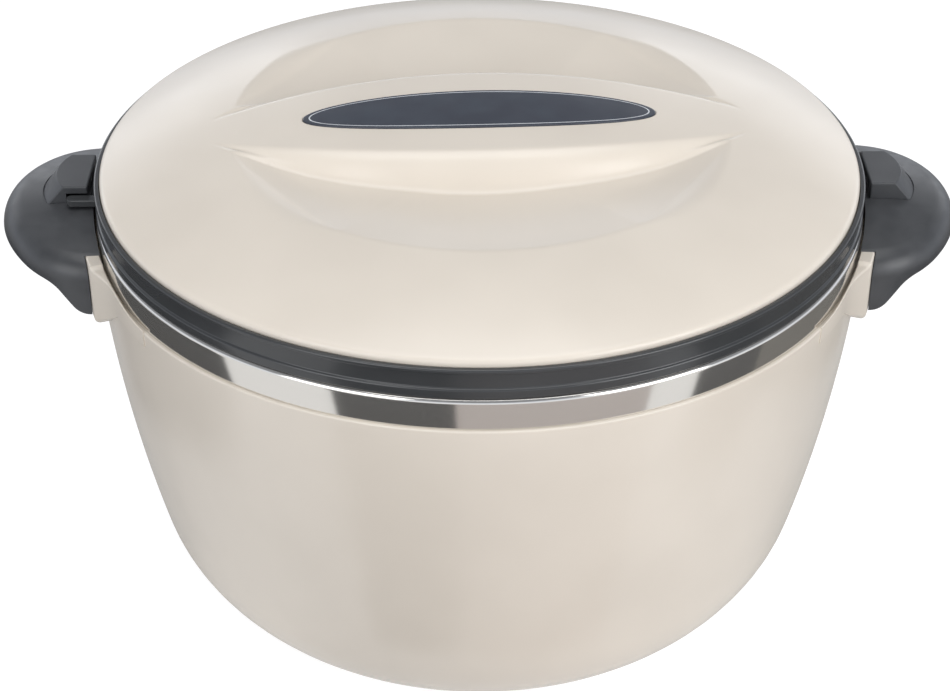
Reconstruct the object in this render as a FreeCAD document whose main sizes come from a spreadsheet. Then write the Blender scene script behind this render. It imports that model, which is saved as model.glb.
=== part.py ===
import FreeCAD, Part
import math
import os

import Sketcher

# Insulated chapati casserole: a moulded outer body with a steel bowl in it, two side handles with
# lock hooks, and an insulated lid that lifts off and turns to lock.
# Heights are from the table, radii from the bowl's upright axis, all in millimetres.
# The handles lie along X, and the right one is at +X.

SIZES = {
    # overall
    "ring_radius": (150.0, "outer radius of the lid ring"),
    "shell_height": (167.8, "height of the outer shell's shoulder"),
    # outer shell
    "shell_proud": (1.5, "shoulder outside the lid ring"),
    "shell_wall": (2.6, "wall of the outer shell"),
    "shell_corner": (0.8, "rounding of the shoulder"),
    "collar_wall": (2.4, "wall of the collar above the shoulder"),
    "wall_lean": (2.8, "lean of the wall at the shoulder, degrees"),
    "heel_lean": (13.6, "lean of the wall where the heel begins, degrees"),
    "heel_end_lean": (80.0, "lean of the heel where it meets the foot, degrees"),
    "heel_radius": (62.0, "radius of the heel"),
    "foot_height": (2.9, "height of the foot ring outside"),
    "foot_width": (6.0, "width of the foot ring's flat"),
    "foot_slope": (1.0, "inward slope of the foot ring's outside"),
    "base_low": (3.6, "underside of the base"),
    "fill_hole": (12.0, "radius of the filling hole in the base"),
    # lugs that carry the handles
    "lug_gap": (0.9, "gap between the steel skirt and a lug"),
    "lug_wall": (5.2, "thickness of a lug"),
    "lug_half_angle": (19.2, "half the angle that a lug spans, degrees"),
    "lug_drop": (18.8, "reach of a lug below the shoulder"),
    "lug_rise": (6.5, "reach of a lug above the shoulder"),
    "lug_corner": (2.5, "rounding of a lug's lower edge"),
    # steel bowl
    "steel": (0.6, "thickness of the steel sheet"),
    "skirt_proud": (0.3, "skirt outside the lid ring"),
    "skirt_height": (12.2, "height of the skirt"),
    "skirt_corner": (2.0, "radius of the rolled edge"),
    "mouth_inset": (15.4, "bowl's mouth inside the lid ring"),
    "mouth_corner": (2.5, "radius between mouth and flange"),
    "mouth_height": (20.0, "straight part of the wall below the flange"),
    "bowl_floor": (20.0, "height of the bowl's floor"),
    "bowl_lean": (6.2, "lean of the bowl's wall, degrees"),
    "bowl_heel": (40.0, "radius between the bowl's wall and floor"),
    # fits
    "fit_gap": (0.3, "gap between parts that are fitted together"),
    "plug_gap": (0.05, "gap round plugs and screw threads"),
    # lid ring and seal
    "ring_height": (11.7, "height of the lid ring"),
    "ring_wall": (2.0, "thickness of the ring at its top"),
    "ring_bead": (1.9, "height of the bead at the top"),
    "ring_foot": (3.0, "height of the proud band at the bottom"),
    "ring_hollow": (0.8, "depth of the face between bead and band"),
    "ring_lip": (3.3, "width of the lip outside the seal"),
    "ring_shelf": (2.5, "thickness of the shelf inside the ring"),
    "shelf_width": (18.0, "width of that shelf"),
    "seal_height": (3.3, "height of the seal"),
    "seal_width": (7.8, "width of the seal"),
    "seal_side": (0.6, "gap beside the seal"),
    # lid liner
    "liner_gap": (2.2, "gap between liner and bowl"),
    "liner_drop": (16.5, "depth of the liner below its flange"),
    "liner_flange": (4.2, "width of the liner's flange"),
    "liner_corner": (6.0, "radius at the liner's bottom"),
    # lid cover
    "lid_rise": (22.0, "crown of the cover above the ring"),
    "cover_wall": (2.5, "wall of the cover"),
    "cover_edge": (2.2, "rounding of the cover's edge"),
    "cover_edge_rise": (0.75, "foot of that rounding above the ring"),
    "scoop_inset": (53.0, "outer edge of the finger scoops inside the ring"),
    "crown_fall": (6.65, "fall of the crown from its middle to the scoops' edge"),
    "scoop_slope": (7.9, "slope of the scoops' floor, degrees"),
    "bar_half_width": (35.5, "half width of the grip bar at its crown"),
    "bar_end_half_width": (13.5, "half width of the grip bar at its ends"),
    "bar_draft": (25.0, "slope of the grip bar's sides off upright, degrees"),
    "grip_angle": (2.1, "turn of the grip bar off the line of the handles, degrees"),
    # badge and the filling plug under it
    "badge_half_length": (68.5, "half length of the badge"),
    "badge_half_width": (15.5, "half width of the badge"),
    "badge_deep": (0.5, "depth of the badge's recess"),
    "badge_proud": (0.3, "badge above the crown"),
    "lid_plug_radius": (6.0, "radius of the lid's filling plug"),
    "lid_plug_rim": (2.0, "width of its rim"),
    # lock tabs on the ring
    "tab_reach": (11.0, "reach of a lock tab outside the ring"),
    "tab_width": (4.8, "width of a lock tab"),
    "tab_start": (14.0, "near side of a tab, off the line of the handles"),
    "tab_rise": (1.2, "tab above the ring's bottom"),
    "tab_thick": (2.8, "thickness of a tab"),
    "tab_corner": (2.0, "rounding of a tab's outer corners"),
    "lock_turn": (7.0, "turn of the lid from open to locked, degrees"),
    # handles
    "handle_half_width": (49.0, "half width of a handle"),
    "handle_reach": (39.0, "reach of a handle from its middle line"),
    "handle_tip": (58.0, "radius of a handle's tip in plan"),
    "handle_inset": (1.0, "that middle line inside the ring's radius"),
    "handle_gap": (0.7, "gap between the steel skirt and a handle"),
    "handle_drop": (16.2, "bottom of a handle below the shoulder"),
    "handle_rise": (13.9, "crown of a handle above the shoulder"),
    "crown_out": (3.0, "crown of a handle outside the ring's radius"),
    "handle_crown": (135.0, "radius of a handle's crown"),
    "handle_edge": (10.0, "rounding of a handle's top edge"),
    "handle_wall": (3.5, "wall of a handle"),
    "mount_out": (10.2, "inner face of the mounting wall outside the ring's radius"),
    "cheek_turn_in": (8.0, "lower radius of the cheek's S curve"),
    "cheek_turn_out": (12.0, "upper radius of the cheek's S curve"),
    "cheek_run": (7.5, "straight run between them"),
    "cheek_steep": (52.0, "slope of that run, degrees"),
    "cheek_flat": (13.0, "slope of the lip's underside, degrees"),
    # lock hooks
    "hook_half_width": (13.5, "half width of a hook"),
    "hook_gap": (2.3, "gap between ring and hook"),
    "hook_rise": (19.8, "top of a hook above the shoulder"),
    "hook_seat": (1.7, "depth of a hook's seat in the handle's crown"),
    "hook_roof": (2.9, "thickness of a hook's roof"),
    "hook_centre": (7.0, "centre of a hook's bowed back inside the ring's radius"),
    "hook_bow_low": (28.6, "radius of the bowed back at its foot"),
    "hook_bow_top": (23.0, "radius of the bowed back at its top"),
    "hook_ease": (0.7, "easing of a hook's edges"),
    "hook_slack": (0.4, "slack round a tab in its hook"),
    # screws
    "screw_shank": (1.9, "radius of a handle screw"),
    "screw_head": (3.6, "radius of its head"),
    "screw_head_height": (2.2, "height of its head"),
    "screw_spread": (28.0, "handle screws off the middle line"),
    "screw_level": (3.3, "handle screws below the shoulder"),
    "screw_length": (12.6, "length of a handle screw"),
    "hook_screw_shank": (1.4, "radius of a hook screw"),
    "hook_screw_head": (2.7, "radius of its head"),
    "hook_screw_out": (14.0, "hook screws outside the ring's radius"),
    "hook_screw_side": (9.0, "hook screws off the middle line"),
    "hook_screw_length": (9.2, "length of a hook screw"),
    "boss_radius": (4.2, "radius of the boss round a hook screw"),
    "boss_rise": (6.2, "boss's end above the shoulder"),
    "screw_clearance": (0.2, "clearance round a screw where it passes through"),
}

doc = FreeCAD.newDocument("casserole")
UP = FreeCAD.Vector(0, 0, 1)


class Size:
    """A size as its number now, and as the words that bind it to the document."""

    def __init__(self, number, words):
        self.number = number
        self.words = words

    def joined(self, sign, other, number):
        return Size(number, "(" + self.words + " " + sign + " " + words_of(other) + ")")

    def __add__(self, other):
        return self.joined("+", other, self.number + number_of(other))

    def __radd__(self, other):
        return self + other

    def __sub__(self, other):
        return self.joined("-", other, self.number - number_of(other))

    def __rsub__(self, other):
        return Size(other, repr(other)) - self

    def __mul__(self, other):
        return self.joined("*", other, self.number * number_of(other))

    def __rmul__(self, other):
        return self * other

    def __truediv__(self, other):
        return self.joined("/", other, self.number / number_of(other))

    def __rtruediv__(self, other):
        return Size(other, repr(other)) / self


def number_of(size):
    return size.number if isinstance(size, Size) else size


def words_of(size):
    return size.words if isinstance(size, Size) else repr(size)


def sine(angle):
    return Size(math.sin(math.radians(angle.number)), "sin(" + angle.words + ")")


def cosine(angle):
    return Size(math.cos(math.radians(angle.number)), "cos(" + angle.words + ")")


def root(size):
    return Size(math.sqrt(size.number), "sqrt(" + size.words + ")")


class Sheet:
    """The driving dimensions in their spreadsheet, read as Size objects by name."""

    def __init__(self, sizes):
        self.cells = doc.addObject("Spreadsheet::Sheet", "sizes")
        for row, (name, (number, note)) in enumerate(sizes.items(), start=1):
            self.cells.set(f"A{row}", name)
            self.cells.set(f"B{row}", str(number))
            self.cells.setAlias(f"B{row}", name)
            self.cells.set(f"C{row}", note)
            setattr(self, name, Size(number, "sizes." + name))
        doc.recompute()


s = Sheet(SIZES)
layout = doc.addObject("App::VarSet", "layout")


def derived(name, size):
    """Keeps a size that follows from others under a name of its own."""
    layout.addProperty("App::PropertyFloat", name)
    setattr(layout, name, size.number)
    layout.setExpression(name, size.words)
    return Size(size.number, "layout." + name)


# Making and binding objects


def bind(item, prop, size):
    """Ties one property of an object to the sizes it follows from."""
    if isinstance(size, Size):
        item.setExpression(prop, size.words)


def place(item, position, turn=0):
    """Puts an object at a position, turned about the upright axis."""
    base = FreeCAD.Vector(*[number_of(value) for value in position])
    item.Placement = FreeCAD.Placement(base, FreeCAD.Rotation(UP, number_of(turn)))
    for axis, value in zip("xyz", position):
        bind(item, "Placement.Base." + axis, value)
    bind(item, "Placement.Rotation.Angle", turn)
    return item


def primitive(kind, name, position, turn=0, **sizes):
    """Primitive solid with its sizes bound."""
    item = place(doc.addObject(kind, name), position, turn)
    for prop, size in sizes.items():
        setattr(item, prop, number_of(size))
        bind(item, prop, size)
    return item


def box(name, x_low, x_high, y_low, y_high, z_low, z_high):
    return primitive(
        "Part::Box",
        name,
        (x_low, y_low, z_low),
        Length=x_high - x_low,
        Width=y_high - y_low,
        Height=z_high - z_low,
    )


def post(name, x, y, low, high, radius):
    """Upright round post."""
    return primitive("Part::Cylinder", name, (x, y, low), Radius=radius, Height=high - low)


def tube_sector(name, inner, outer, low, high, half_angle):
    """Part of an upright tube, centred on the +X side."""
    outside = primitive(
        "Part::Cylinder",
        name + "_outside",
        (0, 0, low),
        0 - half_angle,
        Radius=outer,
        Height=high - low,
        Angle=half_angle * 2,
    )
    return cut(name, outside, post(name + "_inside", 0, 0, low, high, inner))


def cut(name, base, *tools):
    item = doc.addObject("Part::Cut", name)
    item.Base = base
    item.Tool = tools[0] if len(tools) == 1 else fuse(name + "_tools", *tools)
    return item


def fuse(name, *items):
    item = doc.addObject("Part::MultiFuse", name)
    item.Shapes = list(items)
    return item


def common(name, *items):
    item = doc.addObject("Part::MultiCommon", name)
    item.Shapes = list(items)
    return item


def rounded(name, base, radius, wanted):
    """Rounds the edges of a solid that the wanted test picks."""
    doc.recompute()
    item = doc.addObject("Part::Fillet", name)
    item.Base = base
    picked = [number for number, edge in enumerate(base.Shape.Edges, start=1) if wanted(edge)]
    item.Edges = [(number, number_of(radius), number_of(radius)) for number in picked]
    return item


def arc_centre(start, end, radius):
    """Centre of the short arc between two points: left of the way if the radius is positive."""
    middle = (start + end) * 0.5
    way = end - start
    half = way.Length / 2
    side = FreeCAD.Vector(-way.y, way.x, 0).normalize()
    reach = math.sqrt(max(radius * radius - half * half, 0))
    return middle + side * math.copysign(reach, radius)


def outline(body, name, start, steps, role="XZ_Plane"):
    """Closed outline in one plane of a body. A step is a line's end, or an arc's end and radius.

    An arc with a negative radius has its centre on the right of the way.
    """
    sketch = body.newObject("Sketcher::SketchObject", name)
    plane = [feature for feature in body.Origin.OriginFeatures if feature.Role == role][0]
    sketch.AttachmentSupport = [(plane, "")]
    sketch.MapMode = "FlatFace"
    corners = [start] + [step[:2] for step in steps]
    spots = [FreeCAD.Vector(number_of(x), number_of(y), 0) for x, y in corners]
    joints = []
    for index, step in enumerate(steps + [start]):
        here = spots[index]
        there = spots[(index + 1) % len(spots)]
        if len(step) == 2:
            joints.append((sketch.addGeometry(Part.LineSegment(here, there), False), 1, 2))
        else:
            joints.append(add_arc(sketch, here, there, step[2]))
    for index, (edge, first, last) in enumerate(joints):
        next_edge, next_first, _ = joints[(index + 1) % len(joints)]
        sketch.addConstraint(Sketcher.Constraint("Coincident", edge, last, next_edge, next_first))
        pin_point(sketch, edge, first, corners[index])
    return sketch


def add_arc(sketch, here, there, radius):
    """Adds an arc to a sketch, and returns its number and its first and last ends."""
    leftward = number_of(radius) > 0
    size = abs(number_of(radius))
    centre = arc_centre(here, there, number_of(radius))
    ends = (here, there) if leftward else (there, here)
    angles = [math.atan2(end.y - centre.y, end.x - centre.x) for end in ends]
    if angles[1] < angles[0]:
        angles[1] += 2 * math.pi
    circle = Part.Circle(centre, UP, size)
    edge = sketch.addGeometry(Part.ArcOfCircle(circle, angles[0], angles[1]), False)
    limit = sketch.addConstraint(Sketcher.Constraint("Radius", edge, size))
    bind(sketch, f"Constraints[{limit}]", radius if leftward else 0 - radius)
    return (edge, 1, 2) if leftward else (edge, 2, 1)


def pin_point(sketch, edge, end, corner):
    """Ties one point of a sketch to its two distances from the origin."""
    for kind, value, axis in (("DistanceX", corner[0], -2), ("DistanceY", corner[1], -1)):
        number = number_of(value)
        if number == 0:
            sketch.addConstraint(Sketcher.Constraint("PointOnObject", edge, end, axis))
            continue
        limit = sketch.addConstraint(Sketcher.Constraint(kind, -1, 1, edge, end, number))
        bind(sketch, f"Constraints[{limit}]", value)


def turned(name, start, steps):
    """Body turned about the upright axis from an outline of (radius, height) points."""
    body = doc.addObject("PartDesign::Body", name)
    sketch = outline(body, name + "_outline", start, steps)
    lathe = body.newObject("PartDesign::Revolution", name + "_turned")
    lathe.Profile = sketch
    lathe.ReferenceAxis = (sketch, ["V_Axis"])
    lathe.Angle = 360
    return body


def run(name, start, steps, half_length):
    """Body of one outline of (x, height) points, as long on both sides of the middle."""
    body = doc.addObject("PartDesign::Body", name)
    sketch = outline(body, name + "_outline", start, steps)
    pad = body.newObject("PartDesign::Pad", name + "_pad")
    pad.Profile = sketch
    pad.Midplane = True
    pad.Length = number_of(half_length * 2)
    bind(pad, "Length", half_length * 2)
    return body


def upright(name, start, steps, position, height):
    """Upright prism of a plan outline, which is drawn from a position."""
    body = place(doc.addObject("PartDesign::Body", name), position)
    sketch = outline(body, name + "_outline", start, steps, "XY_Plane")
    pad = body.newObject("PartDesign::Pad", name + "_pad")
    pad.Profile = sketch
    pad.Length = number_of(height)
    bind(pad, "Length", height)
    return body


def oval(name, half_x, half_y, low, high, turn):
    """Upright oval prism round the axis."""
    rim = primitive("Part::Ellipse", name + "_rim", (0, 0, low), turn, MajorRadius=half_x, MinorRadius=half_y)
    item = doc.addObject("Part::Extrusion", name)
    item.Base = rim
    item.DirMode = "Custom"
    item.Dir = UP
    item.Solid = True
    item.LengthFwd = number_of(high - low)
    bind(item, "LengthFwd", high - low)
    return item


def screw(name, shank, head, head_height, length):
    """Pan-head screw along +Z with a cross recess; its head's underside is at the origin."""
    corner = head_height / 2
    # The sketch keeps to positive heights, so the screw is drawn from its head up and set down after
    steps = [
        (head - corner, 0),
        (head, corner, corner),
        (head, head_height),
        (shank, head_height),
        (shank, head_height + length - shank),
        (shank / 3, head_height + length),
        (0, head_height + length),
    ]
    blank = turned(name + "_blank", (0, 0), steps)
    half_blade = shank / 4
    along = box(name + "_slot_x", 0 - shank, shank, 0 - half_blade, half_blade, -1, corner)
    across = box(name + "_slot_y", 0 - half_blade, half_blade, 0 - shank, shank, -1, corner)
    return cut(name, blank, along, across)


# Levels and radii that several parts share

flange_top = derived("flange_top", s.shell_height + s.skirt_height)
flange_low = derived("flange_low", flange_top - s.steel)
ring_low = derived("ring_low", flange_top + s.fit_gap)
ring_top = derived("ring_top", ring_low + s.ring_height)
shelf_low = derived("shelf_low", flange_top + s.seal_height)
shelf_top = derived("shelf_top", shelf_low + s.ring_shelf)
crown = derived("crown", ring_top + s.lid_rise)
skirt_out = derived("skirt_out", s.ring_radius + s.skirt_proud)
collar_out = derived("collar_out", skirt_out - s.steel - s.fit_gap)
collar_in = derived("collar_in", collar_out - s.collar_wall)
mouth = derived("mouth", s.ring_radius - s.mouth_inset)
lug_in = derived("lug_in", skirt_out + s.lug_gap)
lug_out = derived("lug_out", lug_in + s.lug_wall)
lug_low = derived("lug_low", s.shell_height - s.lug_drop)
lug_top = derived("lug_top", s.shell_height + s.lug_rise)
mount_face = derived("mount_face", s.ring_radius + s.mount_out)
screw_level = derived("screw_level", s.shell_height - s.screw_level)

# Outer shell: wall and heel arcs, foot ring, collar

shoulder_out = derived("shoulder_out", s.ring_radius + s.shell_proud)
heel_arc = s.heel_radius * (sine(s.heel_end_lean) - sine(s.heel_lean))
heel_top = derived("heel_top", s.foot_height + heel_arc)
wall_arc = (s.shell_height - heel_top) / (sine(s.heel_lean) - sine(s.wall_lean))
wall_radius = derived("wall_radius", wall_arc)
heel_out = derived("heel_out", shoulder_out - wall_radius * (cosine(s.wall_lean) - cosine(s.heel_lean)))
foot_out = derived("foot_out", heel_out - s.heel_radius * (cosine(s.heel_lean) - cosine(s.heel_end_lean)))
foot_flat = derived("foot_flat", foot_out - s.foot_slope)
wall_centre_r = derived("wall_centre_r", wall_radius * cosine(s.wall_lean) - shoulder_out)
wall_centre_z = derived("wall_centre_z", s.shell_height + wall_radius * sine(s.wall_lean))
heel_centre_r = derived("heel_centre_r", heel_out - s.heel_radius * cosine(s.heel_lean))
heel_centre_z = derived("heel_centre_z", heel_top + s.heel_radius * sine(s.heel_lean))


def inside_of_shell(inset):
    """Points of a face as far inside the shell's outside: below the collar, at the heel, on the base."""
    collar = collar_in - (inset - s.shell_wall)
    reach = wall_radius - inset
    across = collar + wall_centre_r
    collar_foot = (collar, wall_centre_z - root(reach * reach - across * across))
    heel_start = (heel_out - inset * cosine(s.heel_lean), heel_top + inset * sine(s.heel_lean))
    heel_reach = s.heel_radius - inset
    drop = heel_centre_z - s.base_low - inset
    base_edge = (heel_centre_r + root(heel_reach * heel_reach - drop * drop), s.base_low + inset)
    return collar_foot, heel_start, base_edge


collar_foot, heel_start, base_edge = inside_of_shell(s.shell_wall)
shell_turned = turned(
    "shell_turned",
    (s.fill_hole, s.base_low),
    [
        (foot_flat - s.foot_width, s.base_low),
        (foot_flat - s.foot_width, 0),
        (foot_flat, 0),
        (foot_out, s.foot_height),
        (heel_out, heel_top, s.heel_radius),
        (shoulder_out, s.shell_height - s.shell_corner, wall_radius),
        (shoulder_out - s.shell_corner, s.shell_height, s.shell_corner),
        (collar_out, s.shell_height),
        (collar_out, flange_low - s.skirt_corner),
        (skirt_out - s.skirt_corner - s.fit_gap, flange_low),
        (collar_in, flange_low),
        collar_foot,
        (*heel_start, 0 - (wall_radius - s.shell_wall)),
        (*base_edge, 0 - (s.heel_radius - s.shell_wall)),
        (s.fill_hole, s.base_low + s.shell_wall),
    ],
)


def handle_screw_axis(name, reach, radius, inner):
    """Rods along X where the two handle screws of the right side go, from a point outwards."""
    rods = []
    for side in (-1, 1):
        start = (inner, s.screw_spread * side, screw_level)
        rod = primitive("Part::Cylinder", f"{name}_{side + 2}", start, Radius=radius, Height=reach)
        rod.Placement = FreeCAD.Placement(rod.Placement.Base, FreeCAD.Rotation(FreeCAD.Vector(0, 1, 0), 90))
        rods.append(rod)
    return rods


def lower_outer_edge(edge):
    bounds = edge.BoundBox
    if bounds.ZMax > lug_low.number + 0.01 or bounds.YLength < lug_out.number * 0.5:
        return False
    return edge.Curve.Radius > lug_in.number


pieces = [shell_turned]
holes = []
for side, turn in (("right", 0), ("left", 180)):
    low = tube_sector("lug_low_" + side, collar_out, lug_out, lug_low, s.shell_height, s.lug_half_angle)
    low = rounded("lug_round_" + side, low, s.lug_corner, lower_outer_edge)
    high = tube_sector("lug_high_" + side, lug_in, lug_out, s.shell_height - 5, lug_top, s.lug_half_angle)
    lug = fuse("lug_" + side, low, high)
    rods = fuse(
        "lug_holes_" + side,
        *handle_screw_axis(
            "lug_hole_" + side,
            s.ring_radius * 0.1,
            s.screw_shank + s.plug_gap,
            mount_face - s.screw_length - 0.5,
        ),
    )
    for item in (lug, rods):
        item.Placement = FreeCAD.Placement(FreeCAD.Vector(), FreeCAD.Rotation(UP, turn))
    pieces.append(lug)
    holes.append(rods)
outer_shell = cut("outer_shell", fuse("shell_whole", *pieces), *holes)

base_plug = turned(
    "base_plug",
    (0, s.base_low - 1.3),
    [
        (s.fill_hole + 2.2, s.base_low - 1.3),
        (s.fill_hole + 3, s.base_low - 0.6),
        (s.fill_hole + 3, s.base_low),
        (s.fill_hole - s.plug_gap, s.base_low),
        (s.fill_hole - s.plug_gap, s.base_low + s.shell_wall - 0.6),
        (s.fill_hole - 0.6, s.base_low + s.shell_wall - 0.1),
        (0, s.base_low + s.shell_wall - 0.1),
    ],
)

# Steel bowl: floor, wall, flange and the rolled skirt that shows under the lid

wall_top = derived("wall_top", flange_top - s.mouth_height)
bowl_centre_z = derived("bowl_centre_z", s.bowl_floor + s.bowl_heel)
lean_end_z = bowl_centre_z - s.bowl_heel * sine(s.bowl_lean)
lean_end_r = mouth - (wall_top - lean_end_z) * sine(s.bowl_lean) / cosine(s.bowl_lean)
bowl_centre_r = derived("bowl_centre_r", lean_end_r - s.bowl_heel * cosine(s.bowl_lean))


def bowl_face(offset):
    """Points of the bowl's inside, or of a face outside it: at the heel's start and its end."""
    reach = s.bowl_heel + offset
    start = (bowl_centre_r + reach * cosine(s.bowl_lean), bowl_centre_z - reach * sine(s.bowl_lean))
    return start, (bowl_centre_r, s.bowl_floor - offset)


inner_start, inner_end = bowl_face(0)
outer_start, outer_end = bowl_face(s.steel)
lip_centre = (mouth + s.mouth_corner, flange_top - s.mouth_corner)
inner_bowl = turned(
    "inner_bowl",
    (0, s.bowl_floor - s.steel),
    [
        outer_end,
        (*outer_start, s.bowl_heel + s.steel),
        (mouth + s.steel, wall_top),
        (mouth + s.steel, lip_centre[1]),
        (lip_centre[0], flange_low, 0 - (s.mouth_corner - s.steel)),
        (skirt_out - s.skirt_corner, flange_low),
        (skirt_out - s.steel, flange_top - s.skirt_corner, 0 - (s.skirt_corner - s.steel)),
        (skirt_out - s.steel, s.shell_height),
        (skirt_out, s.shell_height),
        (skirt_out, flange_top - s.skirt_corner),
        (skirt_out - s.skirt_corner, flange_top, s.skirt_corner),
        (lip_centre[0], flange_top),
        (mouth, lip_centre[1], s.mouth_corner),
        (mouth, wall_top),
        inner_start,
        (*inner_end, 0 - s.bowl_heel),
        (0, s.bowl_floor),
    ],
)

# Insulation between shell and bowl

foam_inset = derived("foam_inset", s.shell_wall + s.fit_gap)
foam_out = derived("foam_out", s.steel + s.fit_gap)
foam_collar, foam_heel, foam_base = inside_of_shell(foam_inset)
foam_start, foam_end = bowl_face(foam_out)
foam_top = derived("foam_top", flange_low - s.fit_gap)
body_foam = turned(
    "body_foam",
    (0, s.base_low + foam_inset),
    [
        foam_base,
        (*foam_heel, s.heel_radius - foam_inset),
        (*foam_collar, wall_radius - foam_inset),
        (foam_collar[0], foam_top),
        (lip_centre[0], foam_top),
        (mouth + foam_out, lip_centre[1], s.mouth_corner - foam_out),
        (mouth + foam_out, wall_top),
        foam_start,
        (*foam_end, 0 - (s.bowl_heel + foam_out)),
        (0, s.bowl_floor - foam_out),
    ],
)

# Handles: an ear of the oval prism under a shallow crown, hollow below, over the lug

handle_mid = derived("handle_mid", s.ring_radius - s.handle_inset)
handle_top = derived("handle_top", s.shell_height + s.handle_rise)
handle_low = derived("handle_low", s.shell_height - s.handle_drop)
crown_x = derived("crown_x", s.ring_radius + s.crown_out)
crown_z = derived("crown_z", handle_top - s.handle_crown)
hook_top = derived("hook_top", s.shell_height + s.hook_rise)
hook_low = derived("hook_low", handle_top - s.hook_seat)
hook_mid = derived("hook_mid", s.ring_radius - s.hook_centre)
hook_face = derived("hook_face", s.ring_radius + s.hook_gap)
hook_screw_x = derived("hook_screw_x", s.ring_radius + s.hook_screw_out)
boss_end = derived("boss_end", s.shell_height + s.boss_rise)
tab_low = derived("tab_low", ring_low + s.tab_rise)
tab_out = derived("tab_out", s.ring_radius + s.tab_reach)
tab_swing = tab_out * sine(s.lock_turn) - s.tab_start * cosine(s.lock_turn)
channel_end = derived("channel_end", tab_swing + s.hook_slack)
beyond = derived("beyond", handle_mid + s.handle_reach + 10)
ear_back = derived("ear_back", handle_mid - 20)
ear_side_top = s.handle_tip * s.handle_tip - s.handle_half_width * s.handle_half_width
ear_tip_in = s.handle_tip - s.handle_reach
ear_side = derived(
    "ear_side", (ear_side_top - ear_tip_in * ear_tip_in) / (2 * (s.handle_tip - s.handle_half_width))
)


def crown_edge(edge):
    bounds = edge.BoundBox
    return bounds.ZMin > handle_low.number + 5 and bounds.XMax > ear_back.number + 0.1


def ear(name, inset):
    """The handle's outside, or the same form inside it by a wall's thickness."""
    half = s.handle_half_width - inset
    tip = s.handle_tip - inset
    side = ear_side - inset
    across = s.handle_tip - s.handle_reach
    join_x = handle_mid - across + tip * across / (s.handle_tip - ear_side)
    join_y = tip * (s.handle_half_width - ear_side) / (s.handle_tip - ear_side)
    prism = upright(
        name + "_prism",
        (ear_back, 0),
        [
            (handle_mid, 0),
            (join_x, half - join_y, side),
            (join_x, half + join_y, tip),
            (handle_mid, half * 2, side),
            (ear_back, half * 2),
        ],
        (0, 0 - half, handle_low - 5),
        handle_top + 10 - handle_low,
    )
    ball = primitive(
        "Part::Sphere", name + "_ball", (crown_x, 0, crown_z), 180, Radius=s.handle_crown - inset
    )
    form = common(name + "_form", prism, ball)
    return rounded(name, form, s.handle_edge - inset, crown_edge)


turn_start = derived("turn_start", s.ring_radius - 0.5)
steep_x = turn_start + s.cheek_turn_in * sine(s.cheek_steep)
steep_z = handle_low + s.cheek_turn_in * (1 - cosine(s.cheek_steep))
bend_x = derived("bend_x", steep_x + s.cheek_run * cosine(s.cheek_steep))
bend_z = derived("bend_z", steep_z + s.cheek_run * sine(s.cheek_steep))
flat_x = derived("flat_x", bend_x + s.cheek_turn_out * (sine(s.cheek_steep) - sine(s.cheek_flat)))
flat_z = derived("flat_z", bend_z + s.cheek_turn_out * (cosine(s.cheek_flat) - cosine(s.cheek_steep)))
lip_end_z = flat_z + (beyond - flat_x) * sine(s.cheek_flat) / cosine(s.cheek_flat)


def handle(side, turn):
    """One handle, made at +X and turned to its side."""
    above_cheek = run(
        "cheek_" + side,
        (handle_mid - 40, handle_low),
        [
            (turn_start, handle_low),
            (steep_x, steep_z, s.cheek_turn_in),
            (bend_x, bend_z),
            (flat_x, flat_z, 0 - s.cheek_turn_out),
            (beyond, lip_end_z),
            (beyond, handle_top + 10),
            (handle_mid - 40, handle_top + 10),
        ],
        s.handle_half_width + 5,
    )
    ear_body = common("ear_body_" + side, ear("ear_" + side, 0), above_cheek)
    over_lug = post("over_lug_" + side, 0, 0, handle_low - 10, lug_top, lug_out + s.fit_gap)
    over_skirt = post("over_skirt_" + side, 0, 0, lug_top - 5, handle_top + 10, skirt_out + s.handle_gap)
    hollow_end = box(
        "hollow_end_" + side,
        mount_face,
        beyond,
        0 - s.handle_half_width,
        s.handle_half_width,
        handle_low - 10,
        handle_top,
    )
    hollow = common("hollow_" + side, ear("hollow_form_" + side, s.handle_wall), hollow_end)
    bosses = [
        post(
            f"boss_{side}_{way + 2}",
            hook_screw_x,
            s.hook_screw_side * way,
            boss_end,
            handle_top,
            s.boss_radius,
        )
        for way in (-1, 1)
    ]
    space = cut("space_" + side, hollow, *bosses)
    seat_width = s.hook_half_width + s.screw_clearance
    seat_box = box(
        "seat_box_" + side, hook_mid, beyond, 0 - seat_width, seat_width, hook_low, handle_top + 10
    )
    seat_bow = post(
        "seat_bow_" + side, hook_mid, 0, hook_low - 1, handle_top + 11, s.hook_bow_low + s.screw_clearance
    )
    seat = common("hook_seat_" + side, seat_box, seat_bow)
    up_holes = [
        post(
            f"up_hole_{side}_{way + 2}",
            hook_screw_x,
            s.hook_screw_side * way,
            boss_end - 1,
            hook_low + 1,
            s.hook_screw_shank + s.screw_clearance,
        )
        for way in (-1, 1)
    ]
    through = handle_screw_axis(
        "through_" + side, s.mount_out + 5, s.screw_shank + s.screw_clearance, s.ring_radius - 5
    )
    item = cut("handle_" + side, ear_body, over_lug, over_skirt, space, seat, *up_holes, *through)
    item.Placement = FreeCAD.Placement(FreeCAD.Vector(), FreeCAD.Rotation(UP, turn))
    return item


def above_hook_foot(edge):
    return edge.BoundBox.ZMax > hook_low.number + 1


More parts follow.
